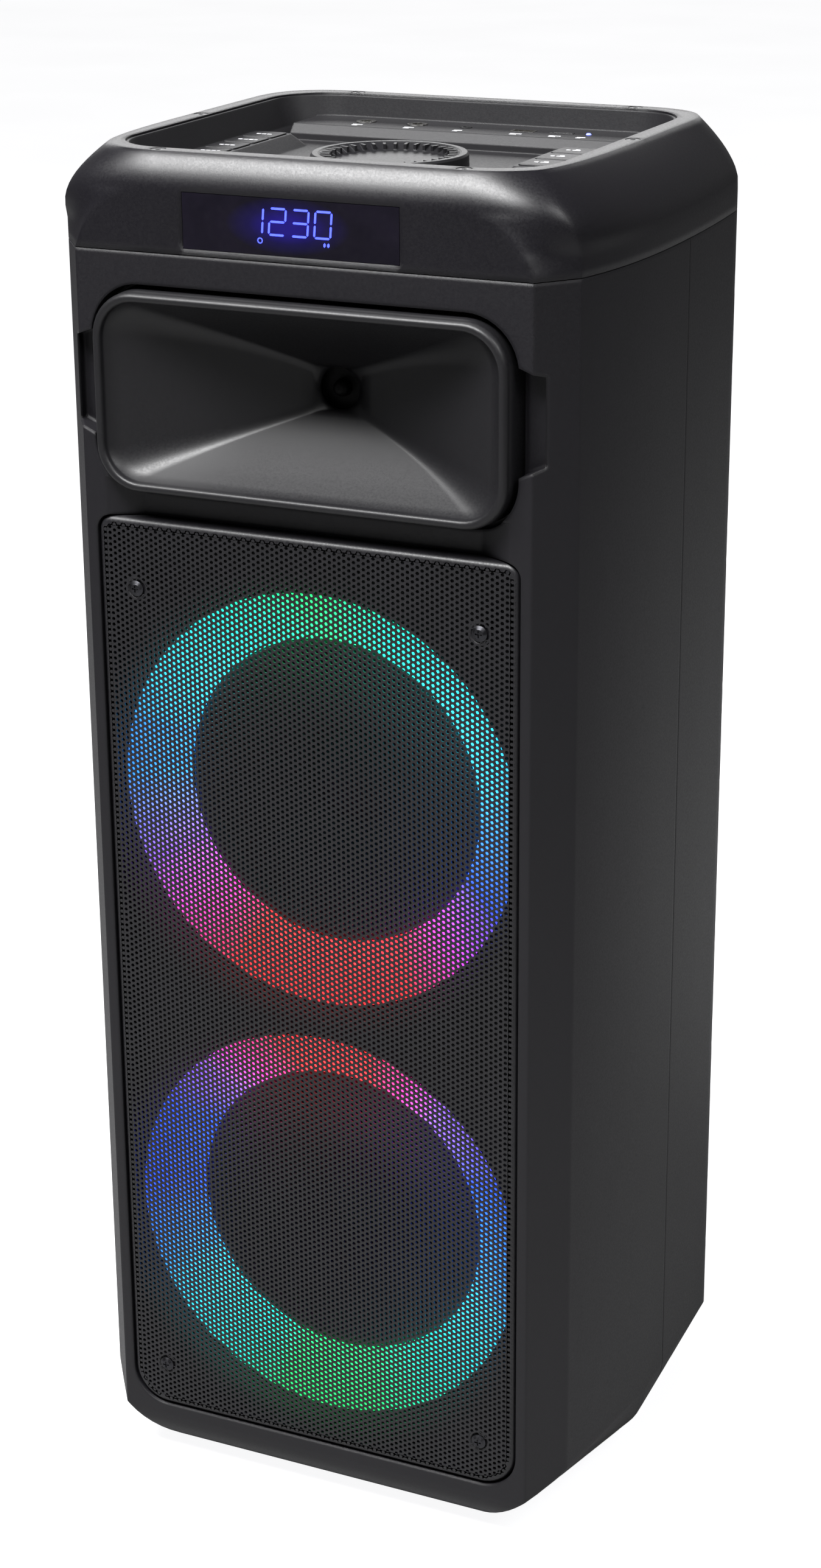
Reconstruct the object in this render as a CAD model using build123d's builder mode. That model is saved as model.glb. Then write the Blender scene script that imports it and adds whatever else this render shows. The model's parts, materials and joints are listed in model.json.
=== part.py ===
from build123d import *
import math
import os

# Tall party loudspeaker: two woofers behind one grille, a horn above them, a top cap with a
# display in its face and a sunken control panel in its top.  Millimetres, +Z up, the front
# faces -Y, and the origin is on the floor under the middle of the bounding box.

os.makedirs("parts", exist_ok=True)

# ---------------------------------------------------------------- driving dimensions
HALF_WIDTH = 161.1          # widest half width of the cabinet
DEPTH = 273.0               # front face to rear face
HORN_PROUD = 7.5            # how far the horn stands out of the front face
FRONT = -(DEPTH + HORN_PROUD) / 2 + HORN_PROUD   # Y of the front face
FOOT_HEIGHT = 6.0
LOWER_CORNERS = ((-1.0, 90.0), (120.0, 40.0), (DEPTH + 1.0, 62.0))   # (depth, radius)
CORNER_REACH = 1100.0        # tall enough for the upper corners to clear the cabinet
REAR_CORNER = 35.0
SEAM_Z = 740.5              # where the top cap meets the cabinet
RIM_Z = 793.0               # top of the cap
WALL = 3.5
FRONT_WALL = 17.5           # face and baffle together
PARTING = 150.0             # depth of the joint between the front and rear shells
SEAM_GAP = 0.5

GRILLE_LOW, GRILLE_HIGH = 36.0, 594.0
GRILLE_HALF = 125.6
GRILLE_CORNER = 22.0
GRILLE_TOP_CORNER = 8.0
GRILLE_TOP_PART = 200.0
GRILLE_DEPTH = 11.5
SHEET = 1.2
WOOFER_Z = {"lower": 175.0, "upper": 439.0}
RING_OUTER, RING_INNER = 120.1, 89.8
RING_FRONT, RING_BACK = 12.2, 31.6
BAFFLE_FRONT = 12.5

HORN_Z = 665.4              # centre of the horn mouth
HORN_HALF_W, HORN_HALF_H = 120.9, 54.4
HORN_CORNER = 26.0
HORN_LIP = 8.5
THROAT_DEPTH = 46.0
THROAT_HALF_W, THROAT_HALF_H = 15.0, 12.5

ARCH_TOP = 774.5            # top of the flat face of the cap
ARCH_FLAT = 88.0
ARCH_RADIUS = 46.0
SHOULDER_Z = 757.0          # where the cap's sides start to lean in
RIM_HALF, RIM_FRONT, RIM_REAR = 136.0, 9.5, 262.0
RIM_CORNER = 45.0
RIM_BAND = 10.5

FLOOR_Z = 771.0             # floor of the control panel
PAD_Z = 778.0               # top of the raised key pads
STRIP_Z = 780.0             # top of the raised strip along the back
KNOB_DEPTH = 113.5
KNOB_RADIUS = 43.5
KNOB_TOP = 782.7
KEY_GAP = 0.3


# ---------------------------------------------------------------- helpers
def at_depth(depth):
    """Y of a point that lies a given depth behind the front face."""
    return FRONT + depth


def front_plane(depth):
    """Plane facing forwards; extruding by a negative amount goes towards the back."""
    return Plane.XZ.offset(-at_depth(depth))


def finish(piece, label):
    piece.part.label = label
    export_step(piece.part, "parts/" + label + ".step")


def blend(start, end, share):
    return tuple(a + (b - a) * share for a, b in zip(start, end))


def section_points(height):
    """Half outline of the cabinet and cap at a height, as (x, depth) points of four curves."""
    rise = max(0.0, (height - SHOULDER_Z) / (RIM_Z - SHOULDER_Z)) ** 1.6
    half = HALF_WIDTH - (HALF_WIDTH - RIM_HALF) * rise
    rear = DEPTH - (DEPTH - RIM_REAR) * rise
    front = RIM_FRONT * max(0.0, (height - ARCH_TOP) / (RIM_Z - ARCH_TOP)) ** 1.8
    below_top = max(0.0, ARCH_TOP - height)
    arch = ARCH_FLAT + math.sqrt(ARCH_RADIUS**2 - (ARCH_RADIUS - below_top) ** 2)
    round_share = min(1.0, max(0.0, (height - SHOULDER_Z + 5) / (ARCH_TOP - SHOULDER_Z + 5)))
    side_of_corner = (half - 0.293 * RIM_CORNER, front + 0.293 * RIM_CORNER)
    ridge = blend((149.5, 21.7), side_of_corner, round_share)
    straight = blend((arch, front), ridge, 0.5)
    rounded = (half - 0.586 * RIM_CORNER, front)
    return [
        (arch, front),
        blend(straight, rounded, round_share),
        ridge,
        blend((half, 60.0), (half, front + 0.586 * RIM_CORNER), round_share),
        (half, 125.0),
        (half, 180.0),
        (half - 5.1 * (1 - rise), 236.5 - 19.5 * rise),
        (half - 8.4 * (1 - rise), rear),
        (112.0 - 21.0 * rise, rear),
    ]


def section_face(height, inset=0.0):
    """Closed outline at a height, drawn smaller all round by about the inset."""
    shrink = 1 - inset / HALF_WIDTH
    middle = DEPTH / 2
    pts = []
    for x, depth in section_points(height):
        pts.append((x * shrink, at_depth(middle + (depth - middle) * shrink)))
    with BuildLine() as outline:
        Line((0, pts[0][1]), pts[0])
        Bezier(pts[0], pts[1], pts[2])
        Bezier(pts[2], pts[3], pts[4])
        Bezier(pts[4], pts[5], pts[6])
        Bezier(pts[6], pts[7], pts[8])
        Line(pts[8], (0, pts[8][1]))
        mirror(about=Plane.YZ)
    make_face(outline.edges())


def cabinet_solid(inset, front_inset, front_radius, top):
    """The cabinet's outer or inner form, with its underside rolled at the front and back."""
    base = FOOT_HEIGHT + inset
    with BuildPart() as solid:
        with BuildSketch(Plane.XY.offset(base)):
            section_face(SEAM_Z, inset)
        extrude(amount=top - base)
        # lower corners: wide at the front, tighter in the middle, wider again at the rear
        with BuildPart(mode=Mode.INTERSECT):
            for depth, radius in LOWER_CORNERS:
                with BuildSketch(front_plane(depth)):
                    with Locations((0, base)):
                        RectangleRounded(2 * (HALF_WIDTH - inset), CORNER_REACH, radius - inset,
                                         align=(Align.CENTER, Align.MIN))
            loft(ruled=True)
        with BuildSketch(Plane.YZ) as side_view:
            length = DEPTH - inset - front_inset
            with Locations((at_depth(front_inset), base)):
                Rectangle(length, top - base, align=(Align.MIN, Align.MIN))
            corner = side_view.vertices().group_by(Axis.Y)[0].sort_by(Axis.X)[0]
            fillet(corner, radius=front_radius)
            corner = side_view.vertices().group_by(Axis.Y)[0].sort_by(Axis.X)[-1]
            fillet(corner, radius=REAR_CORNER - inset)
        extrude(amount=DEPTH, both=True, mode=Mode.INTERSECT)
    return solid.part


def rounded_plate(half_width, front, rear, radius):
    """Rounded rectangle in plan, from one depth to another, inside a sketch."""
    with Locations((0, at_depth((front + rear) / 2))):
        RectangleRounded(2 * half_width, rear - front, radius)


def grille_outline(grow):
    """Grille shape grown by a margin: wide corners at the bottom, tight ones at the top."""
    width = 2 * (GRILLE_HALF + grow)
    with Locations((0, (GRILLE_LOW + GRILLE_HIGH) / 2)):
        RectangleRounded(width, GRILLE_HIGH - GRILLE_LOW + 2 * grow, GRILLE_CORNER + grow)
    with Locations((0, GRILLE_HIGH + grow)):
        RectangleRounded(width, GRILLE_TOP_PART, GRILLE_TOP_CORNER + grow,
                         align=(Align.CENTER, Align.MAX))


def slab(x_low, x_high, d_low, d_high, z_low, z_high, mode=Mode.ADD):
    """Plain block between two x, two depths and two heights."""
    with Locations(((x_low + x_high) / 2, at_depth((d_low + d_high) / 2), (z_low + z_high) / 2)):
        Box(x_high - x_low, d_high - d_low, z_high - z_low, mode=mode)


def turned(points, centre_z, mode=Mode.ADD, centre_x=0.0):
    """Revolve (radius, depth) points about a front-to-back axis, inside a part."""
    with BuildSketch(Plane.XY.offset(centre_z)) as profile:
        with BuildLine():
            Polyline([(centre_x + r, at_depth(d)) for r, d in points], close=True)
        make_face()
    revolve(profile.sketch, axis=Axis((centre_x, 0, centre_z), (0, 1, 0)), mode=mode)


def upright(points, x, depth, mode=Mode.ADD):
    """Revolve (radius, height) points about a vertical axis, inside a part."""
    with BuildSketch(Plane.XZ.offset(-at_depth(depth))) as profile:
        with BuildLine():
            Polyline([(x + r, z) for r, z in points], close=True)
        make_face()
    revolve(profile.sketch, axis=Axis((x, at_depth(depth), 0), (0, 0, 1)), mode=mode)


# ---------------------------------------------------------------- places of what repeats
GRILLE_SCREWS = [(sx * 103.1, z) for sx in (-1, 1) for z in (63.7, 554.3)]
BOSS_X = 134.0
BOSS_HEIGHTS = (70.0, 230.0, 384.0, 545.0, 700.0)
BOSSES = [(sx * BOSS_X, z) for sx in (-1, 1) for z in BOSS_HEIGHTS]
FEET = [(sx * 76.0, d) for sx in (-1, 1) for d in (48.0, 222.0)]
CAP_SCREWS = [(sx * x, d) for sx in (-1, 1) for x, d in ((88, 14.8), (130.7, 140), (88, 256.7))]
LEFT_KEYS = [(-107.0, 104.0 + 22.5 * i) for i in range(4)]
RIGHT_KEYS = [(82.0, 134.0 + 23.0 * i) for i in range(3)]
LEFT_KEY_SIZE = (20.0, 20.0)
RIGHT_KEY_SIZE = (22.0, 20.0)
JACK_DEPTH = 230.0
BIG_JACKS = {"mic_jack": -70.0, "guitar_jack": -37.0}
AUX_X, USB_X, CARD_X, STATUS_X = -6.0, 30.0, 54.0, 70.0
INLET_X, INLET_Z = 45.0, 120.0
ROCKER_X, ROCKER_Z = 45.0, 172.0
PORT_Z = 480.0
PORT_RADIUS = 32.0
PANEL_DEPTH = 267.0         # outside face of the shell behind the connector panel
HANDLE_Z = 670.0

# ---------------------------------------------------------------- cabinet shells
outer_form = cabinet_solid(0.0, 0.0, 22.0, SEAM_Z)
inner_form = cabinet_solid(WALL, FRONT_WALL, 10.0, SEAM_Z + 5)
lip_outer = cabinet_solid(WALL + 0.2, FRONT_WALL, 10.0, SEAM_Z - 8)
lip_inner = cabinet_solid(WALL + 2.4, FRONT_WALL, 10.0, SEAM_Z)
lip_root = cabinet_solid(WALL - 0.6, FRONT_WALL, 10.0, SEAM_Z - 8)
tongue_band = Pos(0, at_depth(PARTING), 400) * Box(400, 10, 800)
root_band = Pos(0, at_depth(PARTING + SEAM_GAP + 2.5), 400) * Box(400, 5, 800)
tongue = ((lip_outer - lip_inner) & tongue_band) + ((lip_root - lip_inner) & root_band)

with BuildPart() as front_shell:
    add(outer_form)
    add(inner_form, mode=Mode.SUBTRACT)
    for woofer_z in WOOFER_Z.values():
        # well behind the baffle: a wall and a floor ring that the woofer is screwed to
        turned([(127, 17.4), (130, 17.4), (130, 42.6), (94.5, 42.6), (94.5, 38.6), (127, 38.6)],
               woofer_z)
        with BuildSketch(front_plane(26.3)):
            with Locations((0, woofer_z)):
                with PolarLocations(121, 6, start_angle=30):
                    Circle(3)
        extrude(amount=-12.5)
    for x, z in BOSSES:
        reach = math.copysign(HALF_WIDTH, x)
        slab(min(x, reach), max(x, reach), 70, PARTING - 8, z - 1.5, z + 1.5)
    with BuildSketch(front_plane(70)):
        with Locations(*BOSSES):
            Circle(7)
    extrude(amount=-(PARTING - 70))
    add(outer_form, mode=Mode.INTERSECT)
    slab(-200, 200, -20, PARTING, 0, 800, mode=Mode.INTERSECT)
    with BuildSketch(front_plane(110)):
        with Locations(*BOSSES):
            Circle(2.05)
    extrude(amount=-60, mode=Mode.SUBTRACT)
    # recess for the grille
    with BuildSketch(front_plane(-1)):
        grille_outline(0.7)
    extrude(amount=-(BAFFLE_FRONT + 1), mode=Mode.SUBTRACT)
    # openings for the light rings and the woofers
    with BuildSketch(front_plane(10)):
        with Locations((0, WOOFER_Z["lower"]), (0, WOOFER_Z["upper"])):
            Circle(RING_OUTER + 0.7)
    extrude(amount=-10, mode=Mode.SUBTRACT)
    with BuildSketch(front_plane(10)):
        with Locations(*GRILLE_SCREWS):
            Circle(1.7)
    extrude(amount=-10, mode=Mode.SUBTRACT)
    # recess round the horn, with a hole for its throat
    with BuildSketch(front_plane(-1)):
        with Locations((0, HORN_Z)):
            RectangleRounded(2 * (HORN_HALF_W + 3.8), 2 * (HORN_HALF_H + 3.6), HORN_CORNER + 4)
    extrude(amount=-15, mode=Mode.SUBTRACT)
    with BuildSketch(front_plane(10)):
        with Locations((0, HORN_Z)):
            RectangleRounded(2 * (HORN_HALF_W - 9), 2 * (HORN_HALF_H - 9), 18)
    extrude(amount=-10, mode=Mode.SUBTRACT)
    # notches that break through the cabinet's corners on both sides of the horn
    with BuildSketch(front_plane(-1)):
        with BuildLine():
            Polyline([(118, 640), (125, 640), (137, 645.5), (137, 692.5), (125, 697), (118, 697)],
                     close=True)
        make_face()
        mirror(about=Plane.YZ)
    extrude(amount=-13, mode=Mode.SUBTRACT)
    with BuildSketch(front_plane(38)):
        with Locations((0, WOOFER_Z["lower"]), (0, WOOFER_Z["upper"])):
            with PolarLocations(99.5, 8, start_angle=22.5):
                Circle(1.7)
    extrude(amount=-12, mode=Mode.SUBTRACT)
    with BuildSketch(Plane.XY.offset(FOOT_HEIGHT - 1)):
        with Locations(*[(x, at_depth(d)) for x, d in FEET]):
            Circle(3.2)
    extrude(amount=6, mode=Mode.SUBTRACT)
    # shallow channel between the horn and the grille, its ends sloping up to the face
    with BuildSketch(Plane.XY.offset(GRILLE_HIGH)):
        with BuildLine():
            Polyline([(x, at_depth(d)) for x, d in ((-122, -1), (122, -1), (100, 10), (-100, 10))],
                     close=True)
        make_face()
    extrude(amount=22, mode=Mode.SUBTRACT)
finish(front_shell, "front_shell")

with BuildPart() as rear_shell:
    add(outer_form)
    add(inner_form, mode=Mode.SUBTRACT)
    slab(-100, 100, 258, 270, 76, 226)
    slab(-80, 80, 230, 272, 632, 708)
    for x, z in BOSSES:
        reach = math.copysign(HALF_WIDTH, x)
        slab(min(x, reach), max(x, reach), PARTING + 8, 262, z - 1.5, z + 1.5)
    with BuildSketch(front_plane(PARTING + SEAM_GAP)):
        with Locations(*BOSSES):
            Circle(7)
    extrude(amount=-(DEPTH - PARTING - SEAM_GAP))
    add(outer_form, mode=Mode.INTERSECT)
    slab(-200, 200, PARTING + SEAM_GAP, 300, 0, 800, mode=Mode.INTERSECT)
    # tongue that reaches into the front shell
    add(tongue)
    # screw wells: a shoulder for the head and a way in from the back
    with BuildSketch(front_plane(PARTING)):
        with Locations(*BOSSES):
            Circle(2.2)
    extrude(amount=-10, mode=Mode.SUBTRACT)
    with BuildSketch(front_plane(PARTING + 8)):
        with Locations(*BOSSES):
            Circle(4.6)
    extrude(amount=-(DEPTH - PARTING), mode=Mode.SUBTRACT)
    # connector panel recess and window
    with BuildSketch(front_plane(PANEL_DEPTH)):
        with Locations((0, 151)):
            RectangleRounded(180, 132, 8)
    extrude(amount=-20, mode=Mode.SUBTRACT)
    with BuildSketch(front_plane(250)):
        with Locations((0, 151)):
            RectangleRounded(164, 116, 4)
    extrude(amount=-30, mode=Mode.SUBTRACT)
    with BuildSketch(front_plane(250)):
        with Locations((0, PORT_Z)):
            Circle(PORT_RADIUS + 3.2)
    extrude(amount=-30, mode=Mode.SUBTRACT)
    turned([(0, 269.5), (PORT_RADIUS + 12.2, 269.5), (PORT_RADIUS + 12.2, 274), (0, 274)], PORT_Z,
           mode=Mode.SUBTRACT)
    # pocket for the hand
    with BuildSketch(front_plane(233.5)):
        with Locations((0, HANDLE_Z)):
            RectangleRounded(153, 69, 10)
    extrude(amount=-50, mode=Mode.SUBTRACT)
    with BuildSketch(Plane.XY.offset(FOOT_HEIGHT - 1)):
        with Locations(*[(x, at_depth(d)) for x, d in FEET]):
            Circle(3.2)
    extrude(amount=6, mode=Mode.SUBTRACT)
finish(rear_shell, "rear_shell")

with BuildPart() as rubber_feet:
    for x, d in FEET:
        upright([(0, 0), (13, 0), (14, 1), (14, FOOT_HEIGHT), (3, FOOT_HEIGHT), (3, 9), (0, 9)], x, d)
finish(rubber_feet, "rubber_feet")

with BuildPart() as shell_screws:
    with BuildSketch(front_plane(PARTING + 8.2)):
        with Locations(*BOSSES):
            Circle(4.2)
    extrude(amount=-3.2)
    with BuildSketch(front_plane(PARTING - 20)):
        with Locations(*BOSSES):
            Circle(2)
    extrude(amount=-28.2)
    with BuildSketch(front_plane(PARTING + 9.6)):
        with Locations(*BOSSES):
            RectangleRounded(4, 1, 0.2)
            RectangleRounded(1, 4, 0.2)
    extrude(amount=-5, mode=Mode.SUBTRACT)
finish(shell_screws, "shell_screws")

# ---------------------------------------------------------------- grille and horn
with BuildPart() as grille:
    with BuildSketch(front_plane(0)):
        grille_outline(0)
    extrude(amount=-GRILLE_DEPTH)
    fillet(grille.faces().sort_by(Axis.Y)[0].edges(), radius=3.5)
    with BuildSketch(front_plane(SHEET)):
        grille_outline(-SHEET)
    extrude(amount=-GRILLE_DEPTH, mode=Mode.SUBTRACT)
    with BuildSketch(front_plane(-1)):
        with Locations(*GRILLE_SCREWS):
            Circle(1.8)
    extrude(amount=-5, mode=Mode.SUBTRACT)
finish(grille, "grille")

with BuildPart() as grille_screws:
    for x, z in GRILLE_SCREWS:
        turned([(0, -1.8), (2.6, -1.6), (4.4, -0.4), (4.4, 0), (1.6, 0), (1.6, 15), (0, 15)], z,
               centre_x=x)
    with BuildSketch(front_plane(-0.9)):
        with Locations(*GRILLE_SCREWS):
            RectangleRounded(4, 0.9, 0.2)
            RectangleRounded(0.9, 4, 0.2)
    extrude(amount=2, mode=Mode.SUBTRACT)
finish(grille_screws, "grille_screws")

with BuildPart() as horn_flare:
    with BuildSketch(front_plane(-HORN_PROUD)):
        with Locations((0, HORN_Z)):
            RectangleRounded(2 * HORN_HALF_W, 2 * HORN_HALF_H, HORN_CORNER)
    with BuildSketch(front_plane(13.9)):
        with Locations((0, HORN_Z)):
            RectangleRounded(2 * HORN_HALF_W + 3.2, 2 * HORN_HALF_H + 3.2, HORN_CORNER + 1.6)
    loft(ruled=True)
    fillet(horn_flare.faces().sort_by(Axis.Y)[0].edges(), radius=3)
    with BuildSketch(front_plane(10)):
        with Locations((0, HORN_Z)):
            Rectangle(2 * (HORN_HALF_W - 11), 2 * (HORN_HALF_H - 11))
    with BuildSketch(front_plane(THROAT_DEPTH + 3)):
        with Locations((0, HORN_Z)):
            Rectangle(2 * THROAT_HALF_W + 8, 2 * THROAT_HALF_H + 8)
    loft(ruled=True)
    # the mouth: a rounded lip, then four facets that meet at the throat
    with BuildSketch(front_plane(-HORN_PROUD - 0.1)):
        with Locations((0, HORN_Z)):
            RectangleRounded(2 * (HORN_HALF_W - HORN_LIP), 2 * (HORN_HALF_H - HORN_LIP), 18)
    with BuildSketch(front_plane(THROAT_DEPTH)):
        with Locations((0, HORN_Z)):
            RectangleRounded(2 * THROAT_HALF_W, 2 * THROAT_HALF_H, 8)
    loft(ruled=True, mode=Mode.SUBTRACT)
    with BuildSketch(front_plane(THROAT_DEPTH - 1)):
        with Locations((0, HORN_Z)):
            Circle(11.5)
    extrude(amount=-10, mode=Mode.SUBTRACT)
finish(horn_flare, "horn_flare")

with BuildPart() as horn_driver:
    turned([(0, 46.5), (2.5, 46.9), (4.2, 48.2), (4.8, 50.5), (4.8, 54), (24, 54), (24, THROAT_DEPTH + 3.1),
            (27, THROAT_DEPTH + 3.1), (27, 58), (38, 58), (40, 60), (40, 88), (37, 91), (0, 91)], HORN_Z)
finish(horn_driver, "horn_driver")

# ---------------------------------------------------------------- woofers and light rings



for place, woofer_z in WOOFER_Z.items():
    with BuildPart() as led_diffuser:
        turned([(RING_OUTER + 0.4, RING_FRONT), (RING_INNER, RING_BACK),
                (RING_INNER, RING_BACK + 2.2), (112.6, 19.3), (126, 19.3), (126, 17.6),
                (RING_OUTER + 0.4, 17.6)], woofer_z)
    finish(led_diffuser, place + "_led_diffuser")

    with BuildPart() as led_board:
        turned([(108, 24.6), (125, 24.6), (125, 26.2), (108, 26.2)], woofer_z)
        with BuildSketch(front_plane(24.6)):
            with Locations((0, woofer_z)):
                with PolarLocations(115, 36):
                    Rectangle(5, 5)
        extrude(amount=1.2)
    finish(led_board, place + "_led_board")

    with BuildPart() as basket:
        turned([(92, 34.3), (104.5, 34.3), (104.5, 38.3), (94, 38.3), (57, 88), (20, 88), (20, 86),
                (55.5, 86), (91.8, 37.6), (92, 37.6)], woofer_z)
        with BuildSketch(Plane.XZ.offset(-at_depth(46))):
            with Locations((0, woofer_z)):
                with PolarLocations(70, 6):
                    Rectangle(60, 34)
        extrude(amount=-30, mode=Mode.SUBTRACT)
        with BuildSketch(front_plane(30)):
            with Locations((0, woofer_z)):
                with PolarLocations(99.5, 8, start_angle=22.5):
                    Circle(1.7)
        extrude(amount=-10, mode=Mode.SUBTRACT)
    finish(basket, place + "_woofer_basket")

    with BuildPart() as yoke:
        turned([(0, 84), (17.5, 84), (17.5, 112), (50, 112), (50, 117), (0, 117)], woofer_z)
        turned([(19.7, 88), (50, 88), (50, 94), (19.7, 94)], woofer_z)
    finish(yoke, place + "_woofer_yoke")

    with BuildPart() as magnet:
        turned([(28, 94), (60, 94), (60, 112), (28, 112)], woofer_z)
    finish(magnet, place + "_woofer_magnet")

    with BuildPart() as surround:
        turned([(78.3, 37.4), (79.3, 36.4), (80, 34), (82, 32), (84.8, 31.2), (87.6, 32), (89.6, 34),
                (90.3, 36.4), (91.5, 36.4), (91.5, 37.3), (89.5, 37.3), (88.7, 34.4), (87, 32.8),
                (84.8, 32.1), (82.6, 32.8), (80.9, 34.4), (80.2, 37.3), (78.6, 38.2)], woofer_z)
    finish(surround, place + "_woofer_surround")

    with BuildPart() as cone:
        turned([(78, 37), (50, 49), (19, 66), (19, 67.3), (50, 50.3), (78, 38.2)], woofer_z)
    finish(cone, place + "_woofer_cone")

    with BuildPart() as dust_cap:
        turned([(0, 53), (10, 53.7), (19, 56), (26, 60), (27.4, 61.3), (26, 61.6), (18.6, 57),
                (9.8, 54.7), (0, 54)], woofer_z)
    finish(dust_cap, place + "_woofer_dust_cap")

    with BuildPart() as voice_coil:
        turned([(18.2, 66), (18.8, 66), (18.8, 98), (18.2, 98)], woofer_z)
    finish(voice_coil, place + "_woofer_voice_coil")

    with BuildPart() as spider:
        turned([(19.1, 74), (30, 74), (33, 72), (37, 76), (41, 72), (45, 76), (49, 72), (52, 74),
                (63.5, 74), (63.5, 74.8), (52, 74.8), (49, 72.9), (45, 76.9), (41, 72.9),
                (37, 76.9), (33, 72.9), (30, 74.8), (19.1, 74.8)], woofer_z)
    finish(spider, place + "_woofer_spider")

with BuildPart() as woofer_screws:
    for woofer_z in WOOFER_Z.values():
        for depth, radius, length in ((32.5, 3.0, 1.8), (34.3, 1.6, 12.0)):
            with BuildSketch(front_plane(depth)):
                with Locations((0, woofer_z)):
                    with PolarLocations(99.5, 8, start_angle=22.5):
                        Circle(radius)
            extrude(amount=-length)
finish(woofer_screws, "woofer_screws")

# ---------------------------------------------------------------- top cap
CAP_LEVELS = (SEAM_Z + SEAM_GAP, 752, 759, 764, 768, 771.5, ARCH_TOP, 777.5, 780.5, 783.5, 786.5,
              789, 791.2, RIM_Z)
DISPLAY_X = -4.0
DISPLAY_HALF = 62.5
DISPLAY_LOW, DISPLAY_HIGH = 744.5, 773.8

with BuildPart() as top_cap:
    for level in CAP_LEVELS:
        with BuildSketch(Plane.XY.offset(level)):
            section_face(level)
    loft(ruled=True)
    for level in CAP_LEVELS[:-1]:
        with BuildSketch(Plane.XY.offset(level)):
            section_face(level, WALL)
    loft(ruled=True, mode=Mode.SUBTRACT)
    # opening for the control panel, and the pockets for its screws
    with BuildSketch(Plane.XY.offset(RIM_Z - 12)):
        rounded_plate(RIM_HALF - RIM_BAND, RIM_FRONT + RIM_BAND, RIM_REAR - RIM_BAND,
                      RIM_CORNER - RIM_BAND)
    extrude(amount=20, mode=Mode.SUBTRACT)
    with BuildSketch(Plane.XY.offset(RIM_Z - 1.6)):
        with Locations(*[(x, at_depth(d)) for x, d in CAP_SCREWS]):
            Circle(4.2)
    extrude(amount=5, mode=Mode.SUBTRACT)
    with BuildSketch(Plane.XY.offset(RIM_Z - 20)):
        with Locations(*[(x, at_depth(d)) for x, d in CAP_SCREWS]):
            Circle(1.6)
    extrude(amount=25, mode=Mode.SUBTRACT)
    # pocket and window behind the display
    with BuildSketch(front_plane(-1)):
        with Locations((DISPLAY_X, (DISPLAY_LOW + DISPLAY_HIGH) / 2)):
            Rectangle(2 * DISPLAY_HALF + 0.6, DISPLAY_HIGH - DISPLAY_LOW + 0.6)
    extrude(amount=-3.2, mode=Mode.SUBTRACT)
    with BuildSketch(front_plane(1)):
        with Locations((0, 759)):
            Rectangle(100, 20)
    extrude(amount=-8, mode=Mode.SUBTRACT)
finish(top_cap, "top_cap")

with BuildPart() as cap_screws:
    for x, d in CAP_SCREWS:
        upright([(0, 778), (1.5, 778), (1.5, RIM_Z - 1.6), (3.9, RIM_Z - 1.6), (3.9, RIM_Z - 0.3),
                 (0, RIM_Z - 0.3)], x, d)
    with BuildSketch(Plane.XY.offset(RIM_Z - 1.2)):
        with Locations(*[(x, at_depth(d)) for x, d in CAP_SCREWS]):
            RegularPolygon(1.6, 6)
    extrude(amount=3, mode=Mode.SUBTRACT)
finish(cap_screws, "cap_screws")

with BuildPart() as display_window:
    with BuildSketch(front_plane(0.1)):
        with Locations((DISPLAY_X, (DISPLAY_LOW + DISPLAY_HIGH) / 2)):
            Rectangle(2 * DISPLAY_HALF, DISPLAY_HIGH - DISPLAY_LOW)
    extrude(amount=-2)
finish(display_window, "display_window")

with BuildPart() as display_board:
    slab(-27, 27, 2.4, 10, 752, 766)
    slab(-44, 44, 10, 11.6, 748, 770)
    slab(-10, 10, 11.6, 16, 750, 756)
finish(display_board, "display_board")

# ---------------------------------------------------------------- control panel
PANEL_TOP = RIM_Z - 1.0
DISH_HALF, DISH_FRONT, DISH_REAR, DISH_CORNER = 123.5, 22.0, 249.5, 32.0
FLOOR_HALF, FLOOR_FRONT, FLOOR_REAR, FLOOR_CORNER = 113.0, 33.0, 246.0, 24.0
PANEL_UNDER = FLOOR_Z - 3


def key_sites():
    """Name, centre and size of every key."""
    sites = []
    for i, (x, d) in enumerate(LEFT_KEYS):
        sites.append(("left_key_" + str(i + 1), x, d, LEFT_KEY_SIZE))
    for i, (x, d) in enumerate(RIGHT_KEYS):
        sites.append(("right_key_" + str(i + 1), x, d, RIGHT_KEY_SIZE))
    return sites


def raised_pad(x_foot_low, x_low, x_high, x_foot_high, d_low, d_high):
    """Pad with chamfered sides that stands up from the floor of the panel."""
    with BuildSketch(Plane.XY.offset(PANEL_UNDER)) as foot:
        with Locations(((x_foot_low + x_foot_high) / 2, at_depth((d_low + d_high) / 2))):
            RectangleRounded(x_foot_high - x_foot_low + 6, d_high - d_low + 20, 7)
    with BuildSketch(Plane.XY.offset(PAD_Z)) as head:
        with Locations(((x_low + x_high) / 2, at_depth((d_low + d_high) / 2))):
            RectangleRounded(x_high - x_low, d_high - d_low, 3)
    loft([foot.sketch.face(), head.sketch.face()], ruled=True)


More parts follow.
